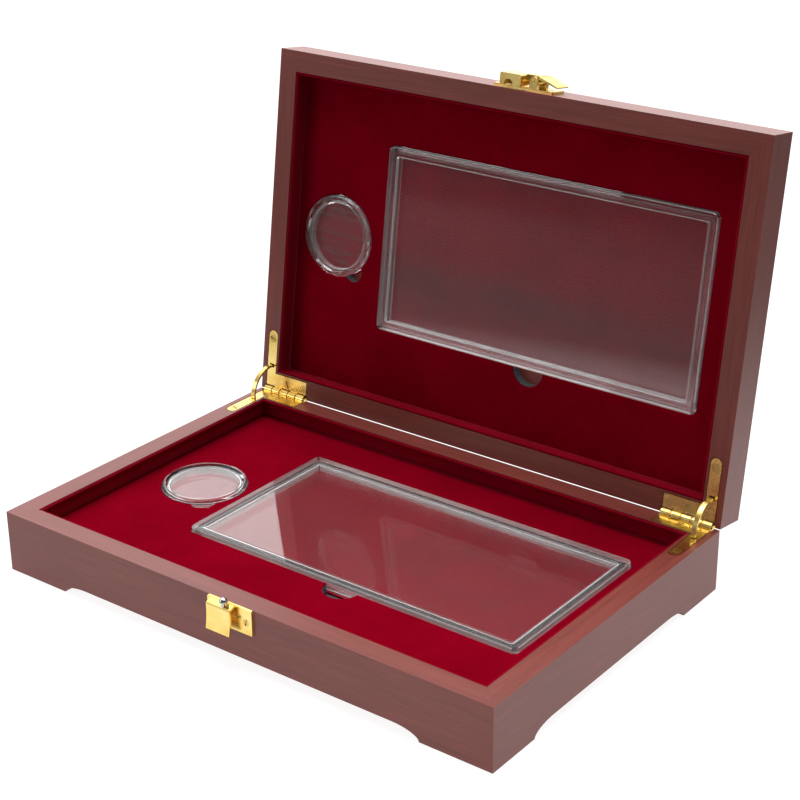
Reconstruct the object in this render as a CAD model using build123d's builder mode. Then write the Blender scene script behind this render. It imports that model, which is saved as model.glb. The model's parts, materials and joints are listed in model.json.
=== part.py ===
from build123d import *
import os
from math import cos, radians, sin

# Hinged wooden presentation box: one round and one oblong clear holder lie in each half.
# Millimetres. The origin is on the table under the middle of the tray, +X to the right,
# +Y towards the hinges and +Z up. Lid pieces are drawn with the lid shut and are then
# turned about the hinge pins to the open position, where the stays stop the lid.

# ---------------------------------------------------------------- driving sizes
box_width = 245.0
box_depth = 160.0
base_height = 27.0
lid_height = 16.5
lid_gap = 0.4  # daylight between the shut halves
lid_opening = 98.13  # degrees
rail_thickness = 9.3
lid_edge_bevel = 0.8

front_foot = 32.0  # length of a foot along X
side_foot = 26.3  # and along Y
foot_height = 4.0
foot_curve = 12.5  # run of the hollow curve beside a foot

bottom_panel_thickness = 3.0
bottom_panel_level = 4.5
groove_depth = 2.0
top_panel_thickness = 3.0
top_rebate = 4.0

velvet = 0.7
recess = 8.7  # rim down to the velvet face, in both halves
pocket_depth = 4.0
pocket_velvet = 0.8
pocket_clearance = 0.4
lining_drop = 0.2  # the wall lining stops this far from the rim

slab_width, slab_depth, slab_height = 163.0, 83.6, 6.0
slab_corner = 2.5
slab_border = 4.2
slab_wall = 1.5
slab_sheet = 1.0
slab_ridge = 1.3  # the border stands this far above the window
slab_notch = 7.7

capsule_radius = 18.6
capsule_height = 5.8
capsule_notch = 5.0
capsule_notch_reach = 17.7

# Holder middles, the way their thumb notches face, and the round one's notch direction.
layout = {
    "base": {"slab": (19.8, 6.6), "capsule": (-85.8, 0.2), "side": -1, "angle": 50.0},
    "lid": {"slab": (18.7, -2.9), "capsule": (-89.4, 1.2), "side": 1, "angle": 57.0},
}

pin_back = 0.1  # hinge pin behind the back face
pin_radius = 1.0
barrel_radius = 2.1
barrel_clearance = 0.35
leaf_thickness = 1.0
leaf_width = 8.3
leaf_inset = 3.0  # in from the side face
mortise_play = 0.35  # round a sunk leaf
leaf_length = 24.0
arm_width = 5.0
arm_length = 29.0
knuckles = 5
knuckle_gap = 0.6
bore_play = 0.05
arm_screw_back = 25.0
back_screw_in, back_screw_back = 15.5, 4.5

stay_radius = 12.0
stay_thickness = 1.0
stay_width = 2.0
stay_head_width = 3.6
stay_head_start, stay_head_end = 7.5, 12.5  # degrees past each leaf

hinge_screw = (1.9, 1.0, 7.0)  # head radius, shank radius, length
clasp_screw = (1.5, 0.8, 7.0)

plate_thickness = 1.0
keeper_left, keeper_right, keeper_height = -9.0, 13.3, 10.8
ledge_left, ledge_right = -7.0, 4.9
ledge_slope = 1.1  # the ledge falls this much towards its front edge
ledge_reach = 4.0  # proud of the front face
ledge_sheet = 0.8
skirt_height = 12.2
stud_x, stud_reach = 0.9, 2.7
stud_neck, stud_head = 0.9, 1.75

latch_left, latch_right = -8.7, 21.0
latch_low, latch_high = 3.0, 12.0  # above the lid's rim
hook_left, hook_right, hook_top = -3.5, 6.8, 8.0
hook_reach = 6.3
lever_x, lever_reach = 11.0, 4.0
lever_pin_radius = 0.6
lever_barrel = 1.9
lug_height = 1.6
tab_end = 22.5

# ---------------------------------------------------------------- worked-out places
half_w = box_width / 2
half_d = box_depth / 2
inner_w = box_width - 2 * rail_thickness
inner_d = box_depth - 2 * rail_thickness
lid_rim = base_height + lid_gap
lid_top = lid_rim + lid_height
pin_y = half_d + pin_back
pin_z = base_height + lid_gap / 2
hinge_axis = Axis((0, pin_y, pin_z), (1, 0, 0))
base_face = base_height - recess
base_floor = base_face - pocket_depth
lid_face = lid_rim + recess
lid_floor = lid_face + pocket_depth
arm_x = half_w - leaf_inset - arm_width / 2
barrel_x = half_w - leaf_inset - leaf_length / 2
plate_front = -half_d - plate_thickness

os.makedirs("parts", exist_ok=True)


def save(shape, name, on_lid=False):
    """Labels a finished piece and writes its STEP, opening the lid's pieces first."""
    if on_lid:
        shape = shape.rotate(hinge_axis, -lid_opening)
    shape.label = name
    export_step(shape, f"parts/{name}.step")


# ---------------------------------------------------------------- screws
def screw_body(size, slotted):
    """Countersunk wood screw, head up and flush with Z 0."""
    head, shank, length = size
    with BuildPart() as body:
        with BuildSketch(Plane.XZ):
            with BuildLine():
                Polyline(
                    (0, 0),
                    (head, 0),
                    (shank, shank - head),
                    (shank, 1.5 - length),
                    (0, -length),
                    close=True,
                )
            make_face()
        revolve(axis=Axis.Z)
        if slotted:
            Box(2.5 * head, 0.6, 0.9, mode=Mode.SUBTRACT)
    return body.part


def drill(size, places):
    """Takes the screws' own shape out of the part being built."""
    blank = screw_body(size, slotted=False)
    for place in places:
        add(blank.moved(place), mode=Mode.SUBTRACT)


def driven(size, places):
    """A group of separate screws, one at each place."""
    one = screw_body(size, slotted=True)
    return Compound(children=[one.moved(place) for place in places])


def leaf_places(side, level, flip):
    """Where the two screws of one hinge leaf go."""
    arm = (side * arm_x, half_d - arm_screw_back, level)
    back = (side * (half_w - back_screw_in), half_d - back_screw_back, level)
    return [Location(arm, (flip, 0, 20 * side)), Location(back, (flip, 0, 65 * side))]


def front_place(x, z, turn):
    """A screw driven into the front face through a plate."""
    return Location((x, plate_front, z), (90, 0, turn))


base_leaf_places = leaf_places(-1, base_height, 0) + leaf_places(1, base_height, 0)
lid_leaf_places = leaf_places(-1, lid_rim, 180) + leaf_places(1, lid_rim, 180)
keeper_places = [
    front_place(6.8, base_height - 4.3, 30),
    front_place(10.4, base_height - 5.7, 75),
]
latch_places = [front_place(-6.4, lid_rim + 7.5, 40), front_place(17.2, lid_rim + 7.5, 10)]


# ---------------------------------------------------------------- shared cuts
def leaf_outline(side, grow=0.0):
    """L-shaped leaf: a strip along the back rail, a round-ended arm on the side rail."""
    with Locations((side * barrel_x, half_d - leaf_width / 2)):
        Rectangle(leaf_length + 2 * grow, leaf_width + 2 * grow)
    straight = arm_length - arm_width / 2
    with Locations((side * arm_x, half_d - straight / 2)):
        Rectangle(arm_width + 2 * grow, straight + 2 * grow)
    with Locations((side * arm_x, half_d - straight)):
        Circle(arm_width / 2 + grow)


def along_pin(side):
    """The middle of a hinge barrel, turned to lie along the pin."""
    return Location((side * barrel_x, pin_y, pin_z), (0, 90, 0))


def hinge_mortises(rim, up):
    """Leaf recesses and stay pockets at both back corners of a frame's rim."""
    reach_radius = stay_radius + stay_thickness / 2 + 0.4
    reach = reach_radius * sin(radians(lid_opening / 2 + stay_head_end)) + 0.6
    pocket_front = pin_y - reach_radius
    pocket_back = half_d - 3.6
    for side in (-1, 1):
        with BuildSketch(Plane.XY.offset(rim)) as outline:
            leaf_outline(side, mortise_play)
        extrude(outline.sketch, amount=up * leaf_thickness, mode=Mode.SUBTRACT)
        with Locations(along_pin(side)):
            Cylinder(
                barrel_radius + barrel_clearance,
                leaf_length + 2 * knuckle_gap,
                mode=Mode.SUBTRACT,
            )
        middle = (side * arm_x, (pocket_front + pocket_back) / 2, rim + up * reach / 2)
        with Locations(middle):
            Box(
                stay_head_width + 0.7,
                pocket_back - pocket_front,
                reach,
                mode=Mode.SUBTRACT,
            )


def mitred(name):
    """Plan of one rail of a mitred frame."""
    w, d, r = half_w, half_d, rail_thickness
    corners = {
        "front": [(-w, -d), (w, -d), (w - r, r - d), (r - w, r - d)],
        "back": [(-w, d), (w, d), (w - r, d - r), (r - w, d - r)],
        "left": [(-w, -d), (-w, d), (r - w, d - r), (r - w, r - d)],
        "right": [(w, -d), (w, d), (w - r, d - r), (w - r, r - d)],
    }
    with BuildLine() as outline:
        Polyline(*corners[name], close=True)
    make_face(outline.line)


def scallop(length, foot):
    """The hollow between two feet, a quarter ellipse at each end."""
    end = length / 2 - foot
    top = end - foot_curve
    with BuildLine() as outline:
        right = EllipticalCenterArc((top, 0), foot_curve, foot_height, 0, arc_size=90)
        left = EllipticalCenterArc((-top, 0), foot_curve, foot_height, 90, arc_size=90)
        Line(right @ 1, left @ 0)
        Polyline(left @ 1, (-end, -1), (end, -1), right @ 0)
    make_face(outline.line)


def outer_top_edge(part, name):
    """The edge of a rail that shows all round the top of the lid."""
    top = part.edges().group_by(Axis.Z)[-1]
    along = Axis.Y if name in ("front", "back") else Axis.X
    return top.sort_by(along)[0 if name in ("front", "left") else -1]


# ---------------------------------------------------------------- wooden frames
for rail in ("front", "back", "left", "right"):
    with BuildPart() as base_rail:
        with BuildSketch(Plane.XY):
            mitred(rail)
        extrude(amount=base_height)
        if rail in ("front", "back"):
            with BuildSketch(Plane.XZ):
                scallop(box_width, front_foot)
            extrude(amount=box_depth, both=True, mode=Mode.SUBTRACT)
        else:
            with BuildSketch(Plane.YZ):
                scallop(box_depth, side_foot)
            extrude(amount=box_width, both=True, mode=Mode.SUBTRACT)
        with Locations((0, 0, bottom_panel_level + bottom_panel_thickness / 2)):
            Box(
                inner_w + 2 * groove_depth,
                inner_d + 2 * groove_depth,
                bottom_panel_thickness,
                mode=Mode.SUBTRACT,
            )
        hinge_mortises(base_height, -1)
        drill(hinge_screw, base_leaf_places)
        drill(clasp_screw, keeper_places)
    save(base_rail.part, f"base_{rail}_rail")

    with BuildPart() as lid_rail:
        with BuildSketch(Plane.XY.offset(lid_rim)):
            mitred(rail)
        extrude(amount=lid_height)
        chamfer(outer_top_edge(lid_rail, rail), lid_edge_bevel)
        with Locations((0, 0, lid_top - top_panel_thickness / 2)):
            Box(
                inner_w + 2 * top_rebate,
                inner_d + 2 * top_rebate,
                top_panel_thickness,
                mode=Mode.SUBTRACT,
            )
        hinge_mortises(lid_rim, 1)
        drill(hinge_screw, lid_leaf_places)
        drill(clasp_screw, latch_places)
    save(lid_rail.part, f"lid_{rail}_rail", on_lid=True)

with BuildPart() as bottom_panel:
    with BuildSketch(Plane.XY.offset(bottom_panel_level)):
        Rectangle(inner_w + 2 * groove_depth, inner_d + 2 * groove_depth)
    extrude(amount=bottom_panel_thickness)
save(bottom_panel.part, "base_bottom_panel")

with BuildPart() as top_panel:
    with BuildSketch(Plane.XY.offset(lid_top - top_panel_thickness)):
        Rectangle(inner_w + 2 * top_rebate, inner_d + 2 * top_rebate)
    extrude(amount=top_panel_thickness)
save(top_panel.part, "lid_top_panel", on_lid=True)


# ---------------------------------------------------------------- velvet inserts
def pocket_plan(half, mode=Mode.ADD, notches=True):
    """Plan of the two pockets of an insert, with or without the thumb notches."""
    spots = layout[half]
    with Locations(spots["slab"]):
        RectangleRounded(
            slab_width + 2 * pocket_clearance,
            slab_depth + 2 * pocket_clearance,
            slab_corner,
            mode=mode,
        )
    with Locations(spots["capsule"]):
        Circle(capsule_radius + pocket_clearance, mode=mode)
    if notches:
        slab_middle = Vector(*spots["slab"])
        with Locations(slab_middle + Vector(0, spots["side"] * slab_depth / 2)):
            Circle(slab_notch, mode=mode)
        angle = radians(spots["side"] * spots["angle"])
        reach = Vector(cos(angle), sin(angle)) * capsule_notch_reach
        with Locations(Vector(*spots["capsule"]) + reach):
            Circle(capsule_notch, mode=mode)


def insert_sheet(low, high, half):
    """A layer of an insert with both pockets cut right through."""
    with BuildPart() as sheet:
        with BuildSketch(Plane.XY.offset(low)):
            Rectangle(inner_w, inner_d)
            pocket_plan(half, Mode.SUBTRACT)
        extrude(amount=high - low)
    return sheet.part


def pocket_sheets(low, half):
    """The two pieces of velvet on the pocket floors."""
    with BuildPart() as sheets:
        with BuildSketch(Plane.XY.offset(low)):
            pocket_plan(half, notches=False)
        extrude(amount=pocket_velvet)
    return sheets.part


def wall_lining(low, high):
    """Velvet strip round the inside of a frame."""
    with BuildPart() as strip:
        with BuildSketch(Plane.XY.offset(low)):
            Rectangle(inner_w, inner_d)
            Rectangle(inner_w - 2 * velvet, inner_d - 2 * velvet, mode=Mode.SUBTRACT)
        extrude(amount=high - low)
    return strip.part


with BuildPart() as base_foam:
    core_low = bottom_panel_level + bottom_panel_thickness
    with BuildSketch(Plane.XY.offset(core_low)):
        Rectangle(inner_w, inner_d)
    extrude(amount=base_face - velvet - core_low)
    with BuildSketch(Plane.XY.offset(base_floor - pocket_velvet)):
        pocket_plan("base")
    extrude(amount=pocket_depth + pocket_velvet, mode=Mode.SUBTRACT)
save(base_foam.part, "base_foam_core")
save(insert_sheet(base_face - velvet, base_face, "base"), "base_velvet_face")
save(pocket_sheets(base_floor - pocket_velvet, "base"), "base_pocket_velvet")
save(wall_lining(base_face, base_height - lining_drop), "base_velvet_lining")

lid_core_top = lid_top - top_panel_thickness
save(insert_sheet(lid_face + velvet, lid_core_top, "lid"), "lid_foam_core", True)
save(insert_sheet(lid_face, lid_face + velvet, "lid"), "lid_velvet_face", True)
save(pocket_sheets(lid_floor, "lid"), "lid_pocket_velvet", True)
save(wall_lining(lid_rim + lining_drop, lid_face), "lid_velvet_lining", True)


# ---------------------------------------------------------------- clear holders
slab_sill = slab_height - slab_ridge - slab_sheet
with BuildPart() as slab_tray:
    with BuildSketch():
        RectangleRounded(slab_width, slab_depth, slab_corner)
    extrude(amount=slab_sheet)
    spigot = slab_wall + 0.15
    with BuildSketch(Plane.XY.offset(slab_sheet)):
        RectangleRounded(slab_width - 2 * spigot, slab_depth - 2 * spigot, 1.2)
        RectangleRounded(
            slab_width - 2 * slab_border,
            slab_depth - 2 * slab_border,
            1.0,
            mode=Mode.SUBTRACT,
        )
    extrude(amount=slab_sill - slab_sheet)

with BuildPart() as slab_cover:
    skirt_low = slab_sheet + 0.1
    with BuildSketch(Plane.XY.offset(skirt_low)):
        RectangleRounded(slab_width, slab_depth, slab_corner)
    extrude(amount=slab_height - skirt_low)
    with BuildSketch(Plane.XY.offset(skirt_low)):
        RectangleRounded(slab_width - 2 * slab_wall, slab_depth - 2 * slab_wall, 1.35)
    extrude(amount=slab_sill - skirt_low, mode=Mode.SUBTRACT)
    with BuildSketch(Plane.XY.offset(slab_height - slab_ridge)):
        RectangleRounded(slab_width - 2 * slab_border, slab_depth - 2 * slab_border, 1.0)
    extrude(amount=slab_ridge, mode=Mode.SUBTRACT)
    with BuildSketch(Plane.XY.offset(slab_height - 0.5)):
        RectangleRounded(slab_width - 4.8, slab_depth - 4.8, 1.5)
    extrude(amount=0.5, mode=Mode.SUBTRACT)
    chamfer(slab_cover.faces().sort_by(Axis.Z)[-1].outer_wire().edges(), 0.4)

with BuildPart() as capsule_tray:
    seat = capsule_radius - 1.4
    with BuildSketch():
        Circle(capsule_radius)
    extrude(amount=1.1)
    chamfer(capsule_tray.edges().group_by(Axis.Z)[0], 0.3)
    with BuildSketch(Plane.XY.offset(1.1)):
        Circle(seat)
        Circle(seat - 1.6, mode=Mode.SUBTRACT)
    extrude(amount=capsule_height - 2.8 - 1.1)

with BuildPart() as capsule_cover:
    top = capsule_height
    rim = capsule_radius
    with BuildSketch(Plane.XZ):
        with BuildLine():
            Polyline(
                (0, top - 1.9),
                (rim - 3.65, top - 1.9),
                (rim - 3.15, top - 2.8),
                (rim - 1.25, top - 2.8),
                (rim - 1.25, 1.2),
                (rim, 1.2),
                (rim, top - 0.7),
                (rim - 0.7, top),
                (rim - 1.6, top),
                (rim - 2.4, top - 0.8),
                (0, top - 0.8),
                close=True,
            )
        make_face()
    revolve(axis=Axis.Z)


def laid(part, x, y, floor, face_down):
    """Lays a holder half on its pocket floor, turned over for the shut lid."""
    turned = part.rotate(Axis.X, 180) if face_down else part
    return turned.moved(Location((x, y, floor)))


holder_halves = {
    "slab_tray": slab_tray.part,
    "slab_cover": slab_cover.part,
    "capsule_tray": capsule_tray.part,
    "capsule_cover": capsule_cover.part,
}
for piece, shape in holder_halves.items():
    holder = piece.split("_")[0]
    x, y = layout["base"][holder]
    save(laid(shape, x, y, base_floor, False), f"base_{piece}")
    x, y = layout["lid"][holder]
    save(laid(shape, x, y, lid_floor, True), f"lid_{piece}", on_lid=True)

save(driven(hinge_screw, base_leaf_places), "base_hinge_screws")
save(driven(hinge_screw, lid_leaf_places), "lid_hinge_screws", on_lid=True)
save(driven(clasp_screw, keeper_places), "keeper_screws")
save(driven(clasp_screw, latch_places), "latch_screws", on_lid=True)


# ---------------------------------------------------------------- hinges and stays
def hinge_leaf(side, low, own, bore, places):
    """One L-shaped leaf with its knuckles, screw holes and stay slot."""
    pitch = leaf_length / knuckles
    width = pitch - knuckle_gap
    web_front = half_d - 3.0
    level = low + leaf_thickness / 2
    with BuildPart() as leaf:
        with BuildSketch(Plane.XY.offset(low)):
            leaf_outline(side)
        extrude(amount=leaf_thickness)
        with Locations(along_pin(side)):
            Cylinder(
                barrel_radius + barrel_clearance,
                leaf_length + 2,
                mode=Mode.SUBTRACT,
            )
        for index in own:
            x = side * (barrel_x + pitch * (index + 0.5) - leaf_length / 2)
            with Locations(Location((x, pin_y, pin_z), (0, 90, 0))):
                Cylinder(barrel_radius, width)
            with Locations((x, (web_front + pin_y) / 2, level)):
                Box(width, pin_y - web_front, leaf_thickness)
        with Locations(along_pin(side)):
            Cylinder(bore, leaf_length + 2, mode=Mode.SUBTRACT)
        with Locations((side * arm_x, pin_y - stay_radius, level)):
            Box(
                stay_width + 0.7,
                stay_thickness + 0.9,
                2 * leaf_thickness,
                mode=Mode.SUBTRACT,
            )
        drill(hinge_screw, places)
    return leaf.part


for name, side in (("left", -1), ("right", 1)):
    leaf = hinge_leaf(
        side,
        base_height - leaf_thickness,
        (0, 2, 4),
        pin_radius,
        leaf_places(side, base_height, 0),
    )
    save(leaf, f"hinge_{name}_base_leaf")
    leaf = hinge_leaf(
        side, lid_rim, (1, 3), pin_radius + bore_play, leaf_places(side, lid_rim, 180)
    )
    save(leaf, f"hinge_{name}_lid_leaf", on_lid=True)

    with BuildPart() as hinge_pin:
        with Locations(along_pin(side)):
            Cylinder(pin_radius, leaf_length)
    save(hinge_pin.part, f"hinge_{name}_pin")

    with BuildPart() as stay:
        spans = [
            (-stay_head_end, lid_opening + stay_head_end, stay_width),
            (-stay_head_end, -stay_head_start, stay_head_width),
            (lid_opening + stay_head_start, lid_opening + stay_head_end, stay_head_width),
        ]
        for start, stop, wide in spans:
            with BuildSketch(Plane.YZ.offset(side * arm_x)):
                with BuildLine():
                    outer = CenterArc(
                        (pin_y, pin_z),
                        stay_radius + stay_thickness / 2,
                        180 - stop,
                        stop - start,
                    )
                    inner = CenterArc(
                        (pin_y, pin_z),
                        stay_radius - stay_thickness / 2,
                        180 - stop,
                        stop - start,
                    )
                    Line(outer @ 0, inner @ 0)
                    Line(outer @ 1, inner @ 1)
                make_face()
            extrude(amount=wide / 2, both=True)
    save(stay.part, f"stay_{name}")

# ---------------------------------------------------------------- keeper on the tray
with BuildPart() as keeper:
    middle = (keeper_left + keeper_right) / 2
    with BuildSketch(Plane.XZ.offset(half_d)):
        with Locations((middle, base_height - keeper_height / 2)):
            RectangleRounded(keeper_right - keeper_left, keeper_height, 0.6)
    extrude(amount=plate_thickness)
    front = -half_d - ledge_reach
    ledge_back = base_height - 0.1
    ledge_front = base_height - ledge_slope
    skirt_low = base_height - skirt_height
    root = plate_front + 0.2
    with BuildSketch(Plane.YZ.offset(ledge_left)):
        with BuildLine():
            Polyline(
                (front, ledge_front - 0.7),
                (front + 0.15, ledge_front - 0.2),
                (front + 0.6, ledge_front + 0.02),
                (root, ledge_back),
                (root, ledge_back - ledge_sheet),
                (front + ledge_sheet, ledge_front - ledge_sheet),
            )
            Spline(
                (front + ledge_sheet, ledge_front - ledge_sheet),
                (front - 0.1 + ledge_sheet, ledge_front - 6.5),
                (front - 0.8 + ledge_sheet, skirt_low),
            )
            Line((front - 0.8 + ledge_sheet, skirt_low), (front - 0.8, skirt_low))
            Spline(
                (front - 0.8, skirt_low),
                (front - 0.1, ledge_front - 6.5),
                (front, ledge_front - 0.7),
            )
        make_face()
    extrude(amount=ledge_right - ledge_left)
    drill(clasp_screw, keeper_places)
    with Locations((stud_x, -half_d - stud_reach, base_height)):
        Cylinder(stud_neck, 4, mode=Mode.SUBTRACT)
save(keeper.part, "keeper_plate")

with BuildPart() as stud:
    neck_low = base_height - 1.7
    neck_top = base_height + 0.85
    with Locations((stud_x, -half_d - stud_reach, (neck_low + neck_top) / 2)):
        Cylinder(stud_neck, neck_top - neck_low)
    with Locations((stud_x, -half_d - stud_reach, neck_top)):
        Sphere(
            stud_head,
            arc_size1=0,
            arc_size2=90,
            align=(Align.CENTER, Align.CENTER, Align.MIN),
        )
save(stud.part, "keeper_stud")

# ---------------------------------------------------------------- latch on the lid
lever_y = -half_d - lever_reach
stud_y = -half_d - stud_reach
latch_middle = (latch_low + latch_high) / 2

with BuildPart() as latch_plate:
    with BuildSketch(Plane.XZ.offset(half_d)):
        with Locations(((latch_left + latch_right) / 2, lid_rim + latch_middle)):
            RectangleRounded(latch_right - latch_left, latch_high - latch_low, 0.6)
    extrude(amount=plate_thickness)
    for low in (latch_low, latch_high - lug_height):
        with BuildSketch(Plane.XY.offset(lid_rim + low)):
            with Locations((lever_x, lever_y)):
                Circle(lever_barrel)
            with Locations((lever_x, (lever_y + plate_front) / 2)):
                Rectangle(2 * lever_barrel, plate_front - lever_y)
        extrude(amount=lug_height)
    with Locations((lever_x, lever_y, lid_rim + latch_middle)):
        Cylinder(lever_pin_radius, 20, mode=Mode.SUBTRACT)
    drill(clasp_screw, latch_places)
save(latch_plate.part, "latch_plate", on_lid=True)

with BuildPart() as latch_pin:
    with Locations((lever_x, lever_y, lid_rim + latch_middle)):
        Cylinder(lever_pin_radius, latch_high - latch_low + 0.6)
save(latch_pin.part, "latch_pin", on_lid=True)

with BuildPart() as lever:
    lip_low = base_height + 0.05
    lip_high = base_height + 0.5
    hook_front = -half_d - hook_reach
    hook_back = plate_front - 0.35
    with BuildSketch(Plane.XY.offset(lip_low)):
        with Locations(((hook_left + hook_right) / 2, (hook_front + hook_back) / 2)):
            RectangleRounded(hook_right - hook_left, hook_back - hook_front, 0.7)
    extrude(amount=lid_rim + hook_top - lip_low)
    cavity = stud_head + 0.4
    for low, high, y in (
        (lip_low, lip_high, stud_y + 0.9),
        (lip_high, base_height + 4.0, stud_y),
    ):
        with BuildSketch(Plane.XY.offset(low)):
            with Locations((stud_x, y)):
                Circle(cavity)
            with Locations((stud_x, y + 3)):
                Rectangle(2 * cavity, 6)
        extrude(amount=high - low, mode=Mode.SUBTRACT)
    sleeve_low = latch_low + lug_height + 0.35
    sleeve_high = latch_high - lug_height - 0.35
    with BuildSketch(Plane.XY.offset(lid_rim + sleeve_low)):
        with Locations((lever_x, lever_y)):
            Circle(lever_barrel)
        with BuildLine():
            Polyline(
                (hook_right - 1.5, hook_front),
                (lever_x + 2.6, hook_front),
                (lever_x + 2.6, lever_y),
                (hook_right - 1.5, lever_y),
                close=True,
            )
        make_face()
    extrude(amount=sleeve_high - sleeve_low)
    with BuildSketch(Plane.XY.offset(lid_rim + latch_low + 0.2)):
        with BuildLine():
            Polyline(
                (lever_x + 2.3, hook_front),
                (tab_end - 0.5, -half_d - 3.4),
                (tab_end, -half_d - 2.9),
                (tab_end, -half_d - 2.5),
                (lever_x + 2.3, hook_front + 1.1),
                close=True,
            )
        make_face()
    extrude(amount=latch_high - latch_low - 0.4)
    with Locations((lever_x, lever_y, lid_rim + latch_middle)):
        Cylinder(lever_pin_radius + bore_play, 20, mode=Mode.SUBTRACT)
save(lever.part, "latch_lever", on_lid=True)
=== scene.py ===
"""Looks of the hinged velvet-lined presentation box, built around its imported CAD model."""

import json
import math

import bmesh
import bpy
from mathutils import Matrix, Vector, noise


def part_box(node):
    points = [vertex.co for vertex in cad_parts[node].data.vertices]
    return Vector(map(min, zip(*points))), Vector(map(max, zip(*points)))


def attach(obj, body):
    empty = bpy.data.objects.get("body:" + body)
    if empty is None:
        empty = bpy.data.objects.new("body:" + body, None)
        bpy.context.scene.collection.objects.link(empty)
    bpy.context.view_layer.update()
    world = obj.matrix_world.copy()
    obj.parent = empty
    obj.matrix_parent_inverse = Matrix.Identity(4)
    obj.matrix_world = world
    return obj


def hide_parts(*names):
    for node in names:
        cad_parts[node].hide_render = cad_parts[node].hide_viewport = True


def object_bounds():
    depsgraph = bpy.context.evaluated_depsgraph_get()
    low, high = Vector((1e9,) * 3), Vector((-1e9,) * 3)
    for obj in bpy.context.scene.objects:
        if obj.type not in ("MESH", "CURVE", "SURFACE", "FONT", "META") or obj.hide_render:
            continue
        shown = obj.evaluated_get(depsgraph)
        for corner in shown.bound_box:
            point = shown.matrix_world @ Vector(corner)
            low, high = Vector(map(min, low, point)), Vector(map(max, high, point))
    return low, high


MM = 0.001

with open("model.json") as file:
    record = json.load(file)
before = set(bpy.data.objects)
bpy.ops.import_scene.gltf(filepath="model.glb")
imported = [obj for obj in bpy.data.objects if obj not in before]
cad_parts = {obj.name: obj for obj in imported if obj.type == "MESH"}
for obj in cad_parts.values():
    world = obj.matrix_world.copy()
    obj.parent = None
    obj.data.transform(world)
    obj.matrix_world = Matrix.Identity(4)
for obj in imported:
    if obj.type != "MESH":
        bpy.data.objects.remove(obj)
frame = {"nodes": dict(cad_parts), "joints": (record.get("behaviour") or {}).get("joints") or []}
cad_box = [list(corner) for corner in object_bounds()]
nodes = frame["nodes"]

# ---------------------------------------------------------------- sizes
BODY = {"base": "tray", "lid": "lid"}  # the body that each half's pieces ride on

VELVET = 0.7 * MM  # cloth thickness
VELVET_ROUNDING = 0.32 * MM  # of the face's cut edges
POCKET_CLOTH_ROUNDING = 0.1 * MM
FACE_CORNER = 0.5 * MM
CLEARANCE = 0.4 * MM  # pocket wall round a holder
POCKET_GAP = 0.35 * MM  # cloth in a pocket, past the holder
SLAB_CORNER = 2.5 * MM
SLAB_NOTCH = 7.7 * MM  # radius of the thumb notch
CAPSULE_NOTCH = 5.0 * MM  # radius of the thumb notch
CAPSULE_NOTCH_REACH = 17.7 * MM  # from the pocket's middle to the notch's
CAPSULE_NOTCH_ANGLE = {"base": math.radians(50), "lid": math.radians(57)}
ARC_STEP = math.radians(6)

LINING_ROLL = 0.62 * MM  # radius of the rolled rim
LINING_ROLL_STEPS = 8
LINING_SIDE_STEPS = 48
LINING_WOBBLE = 0.12 * MM
LINING_WOBBLE_RATE = 90  # per metre
LINING_BACK = 0.02 * MM  # gap to the wall behind

WOOD_EASE = 0.35 * MM
SLAB_EASE = 0.35 * MM
CAPSULE_EASE = 0.18 * MM
SCREW_EASE = 0.25 * MM
BRASS_EASE = 0.15 * MM
FOAM_EASE = 0.4 * MM

# ---------------------------------------------------------------- holders' clarity, with painted highlights
HOLDER_BORDER = {"slab": 4.2 * MM, "capsule": 3.0 * MM}
WINDOW_CLARITY = {"base": 0.993, "lid": 0.9995}  # share of light let through; the base's window is a little milky, a painted haze standing in for reflected light
# The border is a shade milky and its two edges more so: painted highlights, standing in for the
# glints on the holders' rims.
BORDER_CLARITY = 0.994
INNER_HIGHLIGHT_CLARITY = 0.72
OUTER_HIGHLIGHT_CLARITY = 0.70
BORDER_START = -0.3 * MM  # from the window's edge, outwards
BORDER_END = 4.3 * MM

# ---------------------------------------------------------------- floor, light, camera
FLOOR_SIZE = 12.0
FLOOR_GLOW = 0.9  # as the camera sees it
FLOOR_NEAR = 0.85  # as the object sees it close by
FLOOR_FADE = (0.26, 0.48)  # distances over which that glow dies away
BRIGHT_SIDE = (-0.6, 0.8, 0.0)
ROOM_FACING = (-0.3, 0.8)  # how far a direction faces the bright side
ROOM_LIGHT = (0.10, 1.65)  # strength at those two
LAMPS = {  # place, target, size, power in watts
    "overhead": ((-0.1, 0.25, 1.3), (0, 0, 0), (1.3, 1.1), 20),
    "left_front": ((-1.0, -1.1, 0.6), (0, 0, 0.05), (0.6, 0.6), 3),
}
CAMERA_PLACE = (0.4256, -0.5259, 0.3807)
CAMERA_TARGET = (0.0, 0.0287, 0.0708)
CAMERA_ROLL = math.radians(-0.51)
SENSOR_WIDTH = 36  # mm
FOCAL_LENGTH = 83.9  # mm

# ---------------------------------------------------------------- the opened lid
hinge = next(j for j in frame["joints"] if j["name"] == "lid_hinge")
pivot = Vector(hinge["pos_m"])
opening = -math.radians(hinge["range_deg"][0])
OPEN = (
    Matrix.Translation(pivot)
    @ Matrix.Rotation(opening, 4, Vector(hinge["axis"]))
    @ Matrix.Translation(-pivot)
)
SHUT = OPEN.inverted()
LID_TURN = OPEN.to_euler()


def shut_box(name):
    """Lowest and highest corner of a lid node, with the lid shut."""
    points = [SHUT @ v.co for v in nodes[name].data.vertices]
    low = Vector([min(p[i] for p in points) for i in range(3)])
    high = Vector([max(p[i] for p in points) for i in range(3)])
    return low, high


def half_box(half, piece):
    """A node's corners in the tray, or in the shut lid."""
    name = f"{half}_{piece}"
    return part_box(name) if half == "base" else shut_box(name)


def middle(corners):
    return (corners[0] + corners[1]) / 2


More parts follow.
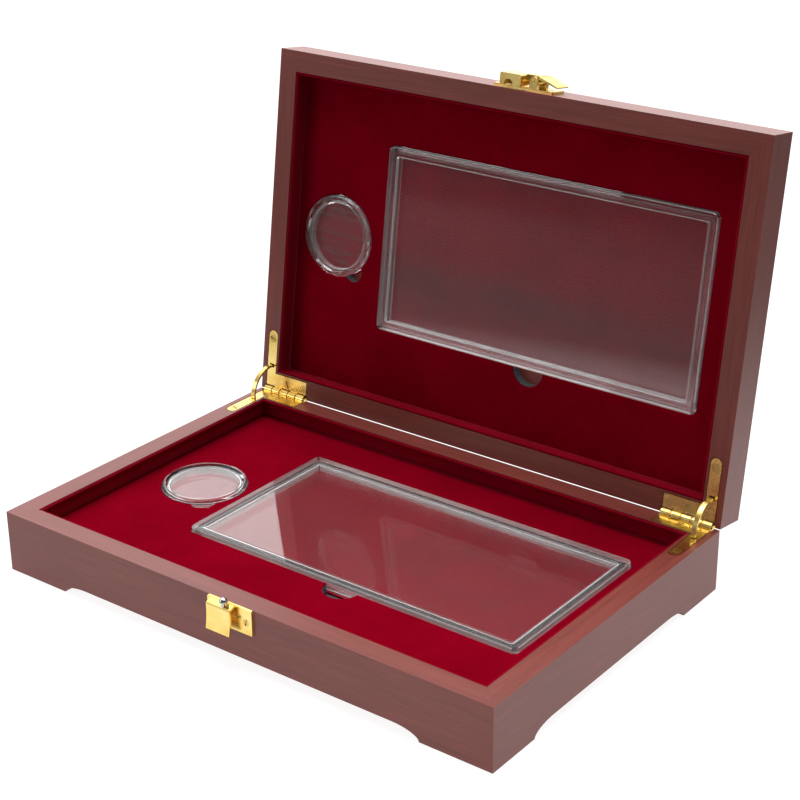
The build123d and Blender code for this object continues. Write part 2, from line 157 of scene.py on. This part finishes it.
# ---------------------------------------------------------------- shader helpers
class Shader:
    """A material under construction: one Principled shader and what feeds it."""

    def __init__(self, name, **values):
        self.material = bpy.data.materials.new(name)
        self.material.use_nodes = True
        self.tree = self.material.node_tree
        self.surface = self.tree.nodes["Principled BSDF"]
        for socket, value in values.items():
            self.surface.inputs[socket.replace("_", " ")].default_value = value
        self.place = self.tree.nodes.new("ShaderNodeTexCoord").outputs["Object"]

    def add(self, kind, **inputs):
        """A new node. Each input is a value or the output that feeds it."""
        node = self.tree.nodes.new(f"ShaderNode{kind}")
        for name, value in inputs.items():
            self.feed(node, name.replace("_", " "), value)
        return node

    def feed(self, node, name, value):
        if isinstance(value, bpy.types.NodeSocket):
            self.tree.links.new(value, node.inputs[name])
        else:
            node.inputs[name].default_value = value

    def mapped(self, centre=(0, 0, 0), turn=(0, 0, 0), size=(1, 1, 1)):
        """Coordinates measured from a centre, in a frame turned by turn, in units of size."""
        mapping = self.add("Mapping", Vector=self.place, Location=centre, Rotation=turn, Scale=size)
        mapping.vector_type = "TEXTURE"
        return mapping.outputs[0]

    def noise(self, scale, detail=2.0, roughness=0.5, place=None):
        """Noise value at the object's own coordinates, or at a mapped place."""
        place = place or self.place
        made = self.add("TexNoise", Vector=place, Scale=scale, Detail=detail, Roughness=roughness)
        return made.outputs["Fac"]

    def math(self, operation, a, b=0.0):
        made = self.tree.nodes.new("ShaderNodeMath")
        made.operation = operation
        self.feed(made, 0, a)
        self.feed(made, 1, b)
        return made.outputs[0]

    def split(self, place):
        """The X and Y outputs of a place."""
        parts = self.add("SeparateXYZ", Vector=place)
        return parts.outputs["X"], parts.outputs["Y"]

    def distance(self, x, y):
        """How far (x, y) is from the middle."""
        squares = self.math("MULTIPLY", x, x), self.math("MULTIPLY", y, y)
        return self.math("SQRT", self.math("ADD", *squares))

    def ramp(self, fac, *stops):
        """Colour ramp through (position, colour) stops."""
        made = self.add("ValToRGB", Fac=fac)
        elements = made.color_ramp.elements
        while len(elements) < len(stops):
            elements.new(0.5)
        for element, (position, colour) in zip(elements, stops):
            element.position = position
            element.color = (*colour, 1)
        return made.outputs["Color"]

    def remap(self, value, low, high, from_low=0.0, from_high=1.0):
        made = self.add("MapRange", Value=value)
        for name, number in (
            ("From Min", from_low),
            ("From Max", from_high),
            ("To Min", low),
            ("To Max", high),
        ):
            made.inputs[name].default_value = number
        return made.outputs[0]

    def mix(self, fac, a, b, blend="MIX"):
        made = self.tree.nodes.new("ShaderNodeMix")
        made.data_type = "RGBA"
        made.blend_type = blend
        self.feed(made, 0, fac)
        self.feed(made, 6, a if isinstance(a, bpy.types.NodeSocket) else (*a, 1))
        self.feed(made, 7, b if isinstance(b, bpy.types.NodeSocket) else (*b, 1))
        return made.outputs[2]

    def bump(self, *layers):
        """Stacks (height, distance in metres) bumps on the surface."""
        normal = None
        for height, distance in layers:
            made = self.add("Bump", Height=height, Distance=distance, Strength=1.0)
            if normal:
                self.tree.links.new(normal, made.inputs["Normal"])
            normal = made.outputs[0]
        self.tree.links.new(normal, self.surface.inputs["Normal"])

    def set(self, socket, output):
        self.tree.links.new(output, self.surface.inputs[socket])


# ---------------------------------------------------------------- materials
WOOD_DARK = (0.165, 0.028, 0.019)
WOOD_MIDDLE = (0.21, 0.040, 0.028)
WOOD_LIGHT = (0.255, 0.054, 0.038)


def wood(name, along, turn=(0, 0, 0)):
    """Stained and lacquered mahogany. along is the axis of the grain before turning."""
    s = Shader(
        name, Specular_IOR_Level=0.3, Coat_Weight=0.42, Coat_Roughness=0.28, Coat_IOR=1.5
    )
    fine = s.mapped(turn=turn, size=[34.0 if axis == along else 1.0 for axis in "XYZ"])
    broad = s.mapped(turn=turn, size=[15.0 if axis == along else 1.0 for axis in "XYZ"])
    streaks = s.noise(1500, 4, 0.6, fine)
    bands = s.noise(260, 3, 0.55, broad)
    cloud = s.noise(14, 2, 0.5)
    grain = s.ramp(streaks, (0.28, WOOD_DARK), (0.52, WOOD_MIDDLE), (0.76, WOOD_LIGHT))
    wide = s.ramp(bands, (0.30, (0.82, 0.81, 0.81)), (0.70, (1.1, 1.08, 1.08)))
    colour = s.mix(0.7, grain, wide, "MULTIPLY")
    patch = s.ramp(cloud, (0.3, (0.88, 0.86, 0.86)), (0.7, (1.08, 1.05, 1.05)))
    s.set("Base Color", s.mix(0.6, colour, patch, "MULTIPLY"))
    s.set("Roughness", s.remap(streaks, 0.36, 0.5))
    s.bump((s.noise(2200, 3, 0.6, fine), 0.00004), (s.noise(70, 2), 0.00003))
    return s.material


def velvet(name, pile, deep, sheen=0.06):
    """Short flocked pile, brushed a little this way and that."""
    s = Shader(
        name,
        Roughness=1.0,
        Specular_IOR_Level=0.0,
        Sheen_Weight=sheen,
        Sheen_Roughness=0.4,
        Sheen_Tint=(0.9, 0.08, 0.16, 1),
    )
    brushed = s.noise(38, 3, 0.6)
    fibres = s.noise(1700, 4, 0.75)
    tone = s.ramp(brushed, (0.32, deep), (0.68, pile))
    speck = s.ramp(fibres, (0.36, (0.78, 0.76, 0.76)), (0.62, (1.16, 1.12, 1.12)))
    s.set("Base Color", s.mix(0.8, tone, speck, "MULTIPLY"))
    s.bump((s.noise(1400, 4, 0.7), 0.0002), (fibres, 0.0001))
    return s.material


def brass(name, roughness=0.24, tone=1.0):
    """Polished, lightly handled brass plating."""
    s = Shader(name, Metallic=1.0, Coat_Weight=0.1, Coat_Roughness=0.1)
    patina = s.noise(90, 3, 0.5)
    shades = ((0.72, 0.44, 0.09), (0.95, 0.68, 0.21), (1.0, 0.80, 0.34))
    # A tone below 1 darkens the brass: painted shade, used for the screws.
    low, mid, high = (tuple(min(1.0, c * tone) for c in shade) for shade in shades)
    s.set("Base Color", s.ramp(patina, (0.22, low), (0.5, mid), (0.8, high)))
    s.set("Roughness", s.remap(s.noise(160, 2), roughness * 0.7, roughness * 1.4))
    s.bump((s.noise(60, 1), 0.00006))
    return s.material


def steel(name):
    """Bright nickel-plated steel."""
    s = Shader(name, Metallic=1.0)
    s.set("Base Color", s.ramp(s.noise(700, 3), (0.3, (0.42, 0.42, 0.42)), (0.7, (0.7, 0.7, 0.68))))
    s.set("Roughness", s.remap(s.noise(1500, 2), 0.12, 0.28))
    s.bump((s.noise(3000, 2), 0.00001))
    return s.material


def foam(name):
    """Dark open foam, seen in the cut walls of the thumb notches."""
    s = Shader(name, Roughness=0.9)
    cells = s.add("TexVoronoi", Vector=s.place, Scale=1800.0).outputs["Distance"]
    s.set("Base Color", s.ramp(cells, (0.1, (0.02, 0.021, 0.025)), (0.8, (0.085, 0.085, 0.095))))
    s.bump((cells, 0.0002))
    return s.material


def acrylic(name, centre, turn, window, clear):
    """Clear moulded acrylic. The border round its window is a shade milky and each edge of it
    milkier still: painted highlights, standing in for the glints on its rims.

    Lamps shine through it to what it covers. window is (half width, half depth) of the
    oblong holder's clear part, or (radius,) of the round one's.
    """
    s = Shader(name, Base_Color=(0.985, 0.985, 0.985, 1), Roughness=0.015, IOR=1.47)
    x, y = s.split(s.mapped(centre, turn))
    if len(window) == 2:
        across = s.math("SUBTRACT", s.math("ABSOLUTE", x), window[0])
        along = s.math("SUBTRACT", s.math("ABSOLUTE", y), window[1])
        outside = s.math("MAXIMUM", across, along)
    else:
        outside = s.math("SUBTRACT", s.distance(x, y), window[0])
    # Clarity of the window, then of the border with its painted highlights: milky lines along both
    # its edges.
    clarity_and_highlights = s.ramp(
        s.remap(outside, 0.0, 1.0, BORDER_START, BORDER_END),
        (0.0, (clear,) * 3),
        (0.05, (INNER_HIGHLIGHT_CLARITY,) * 3),
        (0.12, (BORDER_CLARITY,) * 3),
        (0.88, (BORDER_CLARITY,) * 3),
        (0.95, (OUTER_HIGHLIGHT_CLARITY,) * 3),
    )
    s.set("Transmission Weight", clarity_and_highlights)
    s.bump((s.noise(9, 1), 0.00002))
    clear_to_lamps = s.tree.nodes.new("ShaderNodeBsdfTransparent")
    path = s.tree.nodes.new("ShaderNodeLightPath")
    blend = s.tree.nodes.new("ShaderNodeMixShader")
    output = s.tree.nodes["Material Output"]
    s.tree.links.new(path.outputs["Is Shadow Ray"], blend.inputs[0])
    s.tree.links.new(s.surface.outputs[0], blend.inputs[1])
    s.tree.links.new(clear_to_lamps.outputs[0], blend.inputs[2])
    s.tree.links.new(blend.outputs[0], output.inputs["Surface"])
    return s.material


def paper_white(name):
    """The floor: white to the eye. To the object it is brightest close by, as lit paper."""
    s = Shader(name, Roughness=0.95, Emission_Color=(1, 1, 1, 1))
    s.set("Base Color", s.ramp(s.noise(3, 2), (0.3, (0.17,) * 3), (0.7, (0.19,) * 3)))
    seen = s.tree.nodes.new("ShaderNodeLightPath").outputs["Is Camera Ray"]
    near = s.remap(s.distance(*s.split(s.place)), FLOOR_NEAR, 0.0, *FLOOR_FADE)
    s.set("Emission Strength", s.mix(seen, near, (FLOOR_GLOW,) * 3))
    s.material.cycles.emission_sampling = "NONE"
    return s.material


def paint(node, material):
    """Gives an object one material, in place of all it has."""
    data = node.data
    data.materials.clear()
    data.materials.append(material)


long_grain = wood("mahogany_long", "X")
side_grain = wood("mahogany_side", "Y")
lid_side_grain = wood("mahogany_lid_side", "Y", LID_TURN)
lid_panel_grain = wood("mahogany_lid_long", "X", LID_TURN)
tray_velvet = velvet("crimson_velvet", (0.225, 0.0004, 0.0095), (0.18, 0.0003, 0.0072))
lining_velvet = velvet("lining_velvet", (0.24, 0.0012, 0.012), (0.2, 0.0008, 0.009), 0.4)
# The cloth under the holders is the same velvet made lighter: painted light, making up for what the
# acrylic over it holds back.
pocket_velvet = velvet("pocket_velvet", (0.36, 0.0012, 0.018), (0.28, 0.0008, 0.013))
brass_plate = brass("polished_brass")
# The screws are this brass darkened all over: painted shade, standing in for the shade in their
# slots and round their heads.
shaded_brass_screw = brass("screw_brass", 0.3, 0.72)

for rail in ("front", "back"):
    paint(nodes[f"base_{rail}_rail"], long_grain)
    paint(nodes[f"lid_{rail}_rail"], lid_panel_grain)
for rail in ("left", "right"):
    paint(nodes[f"base_{rail}_rail"], side_grain)
    paint(nodes[f"lid_{rail}_rail"], lid_side_grain)
paint(nodes["base_bottom_panel"], long_grain)
paint(nodes["lid_top_panel"], lid_panel_grain)

dark_foam = foam("dark_foam")
bright_steel = steel("polished_steel")
for half, turn in (("base", (0, 0, 0)), ("lid", LID_TURN)):
    for kind in ("slab", "capsule"):
        corners = half_box(half, f"{kind}_tray")
        centre = middle(corners) if half == "base" else OPEN @ middle(corners)
        size = corners[1] - corners[0]
        sides = (size.x, size.y) if kind == "slab" else (size.x,)
        window = [side / 2 - HOLDER_BORDER[kind] for side in sides]
        name = f"clear_acrylic_{half}_{kind}"
        clear = acrylic(name, centre, turn, window, WINDOW_CLARITY[half])
        for part in ("tray", "cover"):
            paint(nodes[f"{half}_{kind}_{part}"], clear)

for name, node in nodes.items():
    if "foam" in name:
        paint(node, dark_foam)
    elif "velvet" in name:
        paint(node, tray_velvet)
    elif name.endswith("screws"):
        paint(node, shaded_brass_screw)
    elif name == "keeper_stud":
        paint(node, bright_steel)
    elif name.startswith(("hinge", "stay", "keeper", "latch")):
        paint(node, brass_plate)


# ---------------------------------------------------------------- eased edges
def ease(node, width, segments):
    """A small rounding on a piece's sharp edges."""
    rounding = node.modifiers.new("ease", "BEVEL")
    rounding.width = width
    rounding.segments = segments
    rounding.limit_method = "ANGLE"
    rounding.angle_limit = math.radians(35)
    rounding.harden_normals = True


for name, node in nodes.items():
    if name.endswith("rail"):
        ease(node, WOOD_EASE, 3)
    elif "slab" in name:
        ease(node, SLAB_EASE, 3)
    elif "capsule" in name:
        ease(node, CAPSULE_EASE, 2)
    elif name.endswith("screws"):
        ease(node, SCREW_EASE, 2)
    elif name.startswith(("hinge", "stay", "keeper", "latch")):
        ease(node, BRASS_EASE, 2)


# ---------------------------------------------------------------- velvet and foam
def arc(centre, radius, start, stop):
    """Points of an arc, both ends included."""
    steps = max(2, round(abs(stop - start) / ARC_STEP))
    angles = [start + (stop - start) * i / steps for i in range(steps + 1)]
    return [(centre[0] + radius * math.cos(a), centre[1] + radius * math.sin(a)) for a in angles]


def rectangle(centre, width, depth, corner):
    """Outline of a round-cornered rectangle, anticlockwise from its lower right side."""
    points = []
    for quarter, (sx, sy) in enumerate(((1, 1), (-1, 1), (-1, -1), (1, -1))):
        turn = (centre[0] + sx * (width / 2 - corner), centre[1] + sy * (depth / 2 - corner))
        points += arc(turn, corner, quarter * math.pi / 2, (quarter + 1) * math.pi / 2)
    return points


def slab_outline(centre, width, depth, side):
    """Slab pocket with the thumb notch in its front (side -1) or back (side 1) edge."""
    outline = rectangle(centre, width, depth, SLAB_CORNER)
    edge = centre[1] + side * depth / 2
    start = 0.0 if side > 0 else math.pi
    notch = arc((centre[0], edge), SLAB_NOTCH, start, start + math.pi)
    quarter = len(outline) // 4
    cut = quarter if side > 0 else 3 * quarter
    return outline[:cut] + notch + outline[cut:]


def capsule_outline(centre, radius, angle):
    """Round pocket joined to the smaller circle of its thumb notch, which lies at angle."""
    reach, small = CAPSULE_NOTCH_REACH, CAPSULE_NOTCH
    notch = (centre[0] + reach * math.cos(angle), centre[1] + reach * math.sin(angle))
    big_gap = math.acos((radius**2 + reach**2 - small**2) / (2 * radius * reach))
    small_gap = math.acos((small**2 + reach**2 - radius**2) / (2 * small * reach))
    big = arc(centre, radius, angle + big_gap, angle + 2 * math.pi - big_gap)
    return big + arc(notch, small, angle - math.pi + small_gap, angle + math.pi - small_gap)


def polygon_area(points):
    pairs = zip(points, points[1:] + points[:1])
    return abs(sum(a[0] * b[1] - b[0] * a[1] for a, b in pairs)) / 2


def cut_cloth(name, outer, holes, low, thickness, rounding):
    """A flat piece of cloth with holes and rounded edges, from low up to low + thickness."""
    curve = bpy.data.curves.new(name, "CURVE")
    curve.dimensions = "2D"
    curve.fill_mode = "BOTH"
    curve.extrude = thickness / 2 - rounding
    curve.bevel_depth = rounding
    curve.bevel_resolution = 3
    curve.offset = -rounding
    for outline in [outer] + holes:
        spline = curve.splines.new("POLY")
        spline.points.add(len(outline) - 1)
        for point, (x, y) in zip(spline.points, outline):
            point.co = (x, y, 0, 1)
        spline.use_cyclic_u = True
    source = bpy.data.objects.new(name, curve)
    bpy.context.collection.objects.link(source)
    bpy.context.view_layer.update()
    evaluated = source.evaluated_get(bpy.context.evaluated_depsgraph_get())
    mesh = bpy.data.meshes.new_from_object(evaluated)
    bpy.data.objects.remove(source)
    mesh.transform(Matrix.Translation((0, 0, low + thickness / 2)))
    return mesh


def add_mesh(name, mesh, material, half):
    """Puts a finished mesh in the scene, opening the lid's pieces."""
    if half == "lid":
        mesh.transform(OPEN)
    mesh.materials.clear()
    mesh.materials.append(material)
    piece = bpy.data.objects.new(name, mesh)
    bpy.context.collection.objects.link(piece)
    return piece


def velvet_face(half, lining):
    """The velvet over the foam, rolled over the edges of both pockets and notches."""
    low, high = half_box(half, "velvet_face")
    slab = half_box(half, "slab_tray")
    capsule = half_box(half, "capsule_tray")
    side = -1 if half == "base" else 1
    size = slab[1] - slab[0]
    width, depth = size.x + 2 * CLEARANCE, size.y + 2 * CLEARANCE
    slab_hole = slab_outline(middle(slab), width, depth, side)
    radius = (capsule[1].x - capsule[0].x) / 2 + CLEARANCE
    capsule_hole = capsule_outline(middle(capsule), radius, side * CAPSULE_NOTCH_ANGLE[half])
    whole = high - low
    outer = rectangle(middle((low, high)), whole.x, whole.y, FACE_CORNER)
    name = f"{half}_velvet"
    mesh = cut_cloth(name, outer, [slab_hole, capsule_hole], low.z, VELVET, VELVET_ROUNDING)
    piece = add_mesh(name, mesh, tray_velvet, half)
    for face in mesh.polygons:
        face.use_smooth = True
    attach(piece, BODY[half])
    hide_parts(f"{half}_velvet_face")
    area = polygon_area(outer) - polygon_area(slab_hole) - polygon_area(capsule_hole)


def lining_profile(foot, rim):
    """The lining's section, as (inset from the wall, height) points: up its face, round the
    rolled rim and down its back."""
    up = 1 if rim > foot else -1
    crown = rim - up * LINING_ROLL
    # The face leans out a little towards the rim.
    profile = [(VELVET * 0.55, foot)]
    profile += [(VELVET * 0.62, foot + (rim - foot) * share) for share in (0.25, 0.5, 0.7)]
    profile.append((VELVET * 0.7, crown - up * 0.7 * MM))
    # The roll starts below its widest place and ends against the wall.
    for step in range(LINING_ROLL_STEPS + 1):
        a = math.radians(-40 + 200 * step / LINING_ROLL_STEPS)
        inset = LINING_ROLL + LINING_ROLL * math.cos(a)
        profile.append((inset, crown + up * LINING_ROLL * math.sin(a)))
    return profile + [(LINING_BACK, crown - up * 0.6 * MM), (LINING_BACK, foot)]


def lining_ring(centre, half_x, half_y, z, depth):
    """Points round the four walls. depth, from 0 at the wall to 1, is how far they waver."""
    corners = [(1, -1), (1, 1), (-1, 1), (-1, -1)]
    points = []
    for (ax, ay), (bx, by) in zip(corners, corners[1:] + corners[:1]):
        for step in range(LINING_SIDE_STEPS):
            share = step / LINING_SIDE_STEPS
            x = centre.x + half_x * (ax + (bx - ax) * share)
            y = centre.y + half_y * (ay + (by - ay) * share)
            waver = LINING_WOBBLE * noise.noise(Vector((x, y, z)) * LINING_WOBBLE_RATE) * depth
            if ax == bx:
                x -= math.copysign(waver, x)
            if ay == by:
                y -= math.copysign(waver, y)
            points.append((x, y, z))
    return points


def wall_lining(half):
    """Velvet strip round the walls, rolled over card at the rim so it stands a little proud."""
    low, high = half_box(half, "velvet_lining")
    size = high - low
    foot, rim = (low.z, high.z) if half == "base" else (high.z, low.z)
    bm = bmesh.new()
    rings = []
    for inset, z in lining_profile(foot, rim):
        depth = min(1.0, inset / VELVET)
        points = lining_ring(middle((low, high)), size.x / 2 - inset, size.y / 2 - inset, z, depth)
        rings.append([bm.verts.new(point) for point in points])
    count = len(rings[0])
    for a, b in zip(rings, rings[1:] + rings[:1]):
        for i in range(count):
            j = (i + 1) % count
            bm.faces.new((a[i], a[j], b[j], b[i]))
    bmesh.ops.recalc_face_normals(bm, faces=bm.faces)
    for face in bm.faces:
        face.smooth = True
    mesh = bpy.data.meshes.new(f"{half}_lining")
    bm.to_mesh(mesh)
    bm.free()
    piece = add_mesh(f"{half}_lining", mesh, lining_velvet, half)
    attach(piece, BODY[half])
    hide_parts(f"{half}_velvet_lining")
    return piece


def pocket_cloths(half):
    """Velvet laid in the bottom of both pockets, in a lighter copy of the velvet: painted light,
    making up for what the acrylic over it holds back.
    """
    low, high = half_box(half, "pocket_velvet")
    slab, capsule = half_box(half, "slab_tray"), half_box(half, "capsule_tray")
    size = slab[1] - slab[0] + Vector((2, 2, 0)) * POCKET_GAP
    radius = (capsule[1].x - capsule[0].x) / 2 + POCKET_GAP
    outlines = {
        "slab": rectangle(middle(slab), size.x, size.y, SLAB_CORNER),
        "capsule": arc(middle(capsule), radius, 0, 2 * math.pi)[:-1],
    }
    for kind, outline in outlines.items():
        name = f"{half}_{kind}_pocket_cloth"
        mesh = cut_cloth(name, outline, [], low.z, high.z - low.z, POCKET_CLOTH_ROUNDING)
        piece = add_mesh(name, mesh, pocket_velvet, half)
        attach(piece, BODY[half])
        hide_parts(f"{half}_pocket_velvet")
        polygon_area(outline)


def foam_block(half):
    """The die-cut foam under the velvet, its cut edges softened."""
    source = nodes[f"{half}_foam_core"]
    mesh = source.data.copy()
    mesh.transform(source.matrix_world)
    mesh.materials.clear()
    mesh.materials.append(dark_foam)
    piece = bpy.data.objects.new(f"{half}_foam", mesh)
    bpy.context.collection.objects.link(piece)
    ease(piece, FOAM_EASE, 3)
    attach(piece, BODY[half])
    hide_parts(f"{half}_foam_core")


for half in ("base", "lid"):
    velvet_face(half, wall_lining(half))
    pocket_cloths(half)
    foam_block(half)


# ---------------------------------------------------------------- the studio
def add_floor():
    bpy.ops.mesh.primitive_plane_add(size=FLOOR_SIZE, location=(0, 0, cad_box[0][2]))
    floor = bpy.context.object
    floor.name = "floor"
    floor.data.materials.append(paper_white("paper_white"))


def aim(thing, target, roll=0.0):
    """Points a light or camera at a target, with a roll about the line of sight."""
    sight = (Vector(target) - thing.location).normalized()
    level = sight.cross(Vector((0, 0, 1))).normalized()
    upright = level.cross(sight)
    right = level * math.cos(roll) + upright * math.sin(roll)
    up = upright * math.cos(roll) - level * math.sin(roll)
    turned = Matrix((right, up, -sight)).transposed()
    thing.rotation_euler = turned.to_euler()


def softbox(name, place, target, size, power):
    light = bpy.data.lights.new(name, "AREA")
    light.shape = "RECTANGLE"
    light.size, light.size_y = size
    light.energy = power
    lamp = bpy.data.objects.new(name, light)
    lamp.location = place
    bpy.context.collection.objects.link(lamp)
    aim(lamp, target)


def add_camera():
    lens = bpy.data.cameras.new("camera")
    lens.sensor_width = SENSOR_WIDTH
    lens.lens = FOCAL_LENGTH
    lens.clip_start = 10 * MM
    camera = bpy.data.objects.new("camera", lens)
    bpy.context.collection.objects.link(camera)
    camera.location = CAMERA_PLACE
    aim(camera, CAMERA_TARGET, CAMERA_ROLL)
    bpy.context.scene.camera = camera


def add_world():
    """A white room, which lights the object from behind more than from the front."""
    world = bpy.data.worlds.new("studio")
    world.use_nodes = True
    tree = world.node_tree
    toward = tree.nodes.new("ShaderNodeTexCoord").outputs["Generated"]
    facing = tree.nodes.new("ShaderNodeVectorMath")
    facing.operation = "DOT_PRODUCT"
    facing.inputs[1].default_value = BRIGHT_SIDE
    fade = tree.nodes.new("ShaderNodeMapRange")
    tree.links.new(toward, facing.inputs[0])
    tree.links.new(facing.outputs["Value"], fade.inputs["Value"])
    fade.inputs["From Min"].default_value, fade.inputs["From Max"].default_value = ROOM_FACING
    fade.inputs["To Min"].default_value, fade.inputs["To Max"].default_value = ROOM_LIGHT
    backdrop = tree.nodes["Background"]
    backdrop.inputs["Color"].default_value = (1, 1, 1, 1)
    seen = tree.nodes.new("ShaderNodeLightPath").outputs["Is Camera Ray"]
    brighter = tree.nodes.new("ShaderNodeMath")
    brighter.operation = "MAXIMUM"
    tree.links.new(fade.outputs[0], brighter.inputs[0])
    tree.links.new(seen, brighter.inputs[1])
    tree.links.new(brighter.outputs[0], backdrop.inputs["Strength"])
    bpy.context.scene.world = world


add_floor()
add_world()
for name, lamp in LAMPS.items():
    softbox(name, *lamp)
add_camera()
bpy.context.scene.view_settings.view_transform = "Standard"
